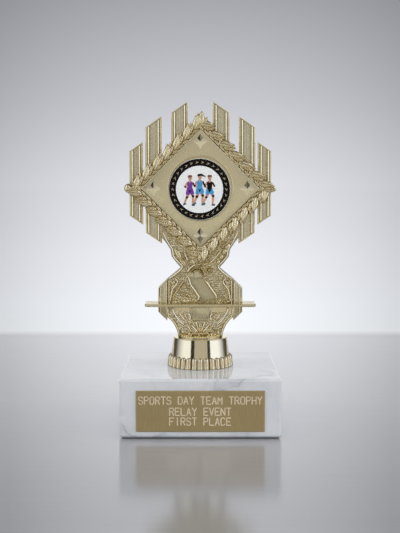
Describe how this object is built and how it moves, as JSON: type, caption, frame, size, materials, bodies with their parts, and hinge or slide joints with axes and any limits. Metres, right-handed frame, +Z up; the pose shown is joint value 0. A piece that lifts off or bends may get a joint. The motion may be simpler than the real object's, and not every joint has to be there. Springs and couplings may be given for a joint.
{
  "type": "trophy",
  "caption": "Small award trophy: square marble block with a plaque, a fluted gold riser and a gold holder with a diamond plate, bars and garland round a printed disc.",
  "frame": {"origin": "centre of the underside of the felt pad, on the surface that the trophy stands on", "axes": "+Z up; the plaque and the printed disc face -Y; +X to the right seen from the front"},
  "size_m": [0.0636, 0.0643, 0.1332],
  "materials": {
    "marble": "polished, soft grey veins",
    "felt": "matt felt",
    "zinc_steel": "zinc plated",
    "polished_gold": "vacuum metallised, mirror bright pale gold",
    "satin_gold": "vacuum metallised, satin pale gold",
    "adhesive": "foam tape",
    "printed_foil": "printed white face with a black and gold border",
    "clear_resin": "clear gloss",
    "plaque_metal": "satin olive gold, engraved"
  },
  "bodies": {
    "root": {"marble_base": "marble", "base_felt": "felt", "plain_washer": "zinc_steel", "lock_washer": "zinc_steel", "base_nut": "zinc_steel", "captive_nut": "zinc_steel", "threaded_rod": "zinc_steel", "riser": "polished_gold", "holder_front": "satin_gold", "holder_rear": "satin_gold", "disc_adhesive": "adhesive", "centre_disc": "printed_foil", "disc_dome": "clear_resin", "plaque_adhesive": "adhesive", "plaque_plate": "plaque_metal"}
  },
  "joints": []
}
